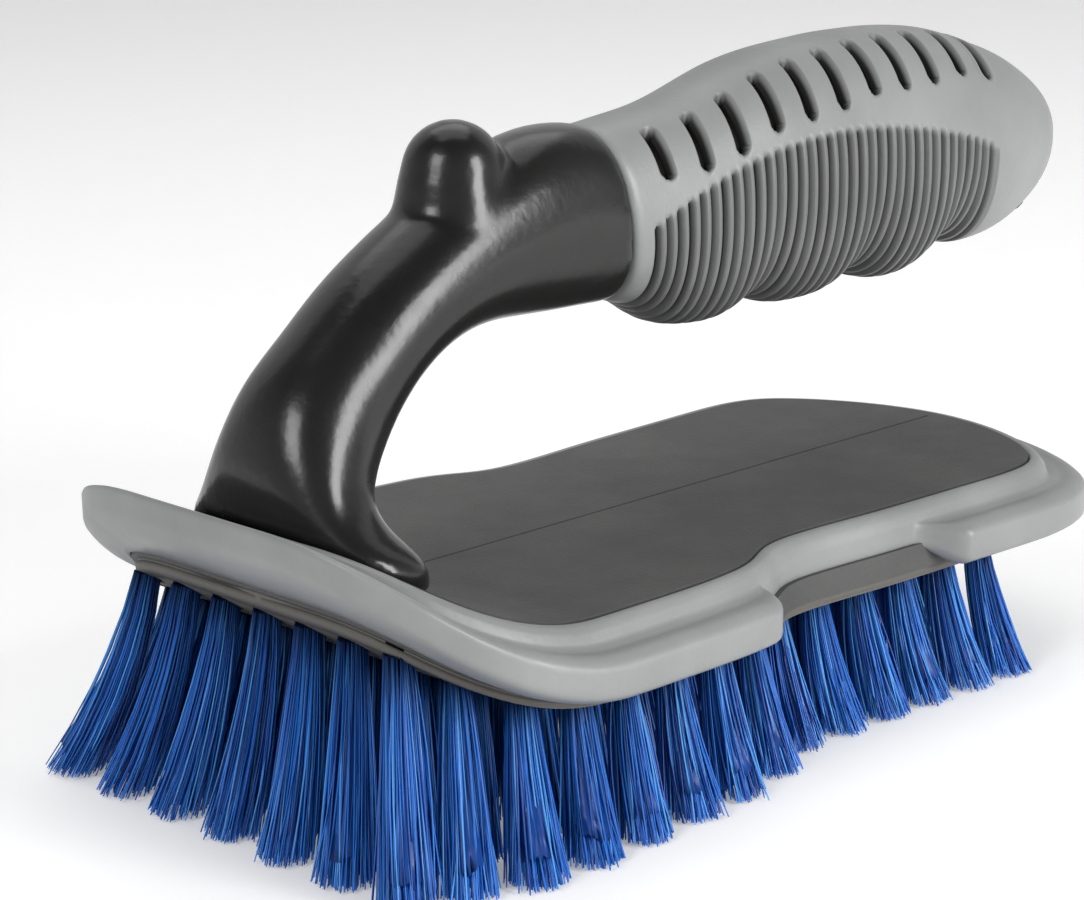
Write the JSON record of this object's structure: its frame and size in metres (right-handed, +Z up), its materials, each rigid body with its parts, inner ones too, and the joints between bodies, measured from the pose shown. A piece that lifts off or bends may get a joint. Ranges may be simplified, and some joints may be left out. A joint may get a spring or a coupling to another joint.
{
  "type": "wheel brush",
  "caption": "Hand brush for washing wheels: a closed-front handle with a soft finger grip over a flat base with a soft bumper and flared bristle tufts.",
  "frame": {"origin": "bottom centre of the whole brush, on the plane of the trimmed bristle ends", "axes": "+X towards the free tail of the handle, +Y to the left seen from behind the tail looking forward along +X, +Z up"},
  "size_m": [0.1972, 0.1024, 0.1064],
  "materials": {
    "arm_plastic": "glossy moulded black with soft highlights",
    "deck_plastic": "fine matte texture, dark grey",
    "soft_grey": "satin soft elastomer, mid grey",
    "block_plastic": "matte warm light grey",
    "filament": "satin blue synthetic filament",
    "staple_wire": "drawn wire",
    "screw_steel": "zinc plated"
  },
  "bodies": {
    "root": {"anchor_row_01": "staple_wire", "anchor_row_02": "staple_wire", "anchor_row_03": "staple_wire", "anchor_row_04": "staple_wire", "anchor_row_05": "staple_wire", "anchor_row_06": "staple_wire", "anchor_row_07": "staple_wire", "anchor_row_08": "staple_wire", "anchor_row_09": "staple_wire", "anchor_row_10": "staple_wire", "anchor_row_11": "staple_wire", "anchor_row_12": "staple_wire", "anchor_row_13": "staple_wire", "anchor_row_14": "staple_wire", "anchor_row_15": "staple_wire", "anchor_row_16": "staple_wire", "arm_screws": "screw_steel", "block_screws": "screw_steel", "bumper_rim": "soft_grey", "deck_shell": "deck_plastic", "grip_sleeve": "soft_grey", "handle_arm": "arm_plastic", "tuft_block": "block_plastic", "tuft_row_01": "filament", "tuft_row_02": "filament", "tuft_row_03": "filament", "tuft_row_04": "filament", "tuft_row_05": "filament", "tuft_row_06": "filament", "tuft_row_07": "filament", "tuft_row_08": "filament", "tuft_row_09": "filament", "tuft_row_10": "filament", "tuft_row_11": "filament", "tuft_row_12": "filament", "tuft_row_13": "filament", "tuft_row_14": "filament", "tuft_row_15": "filament", "tuft_row_16": "filament"}
  },
  "joints": []
}
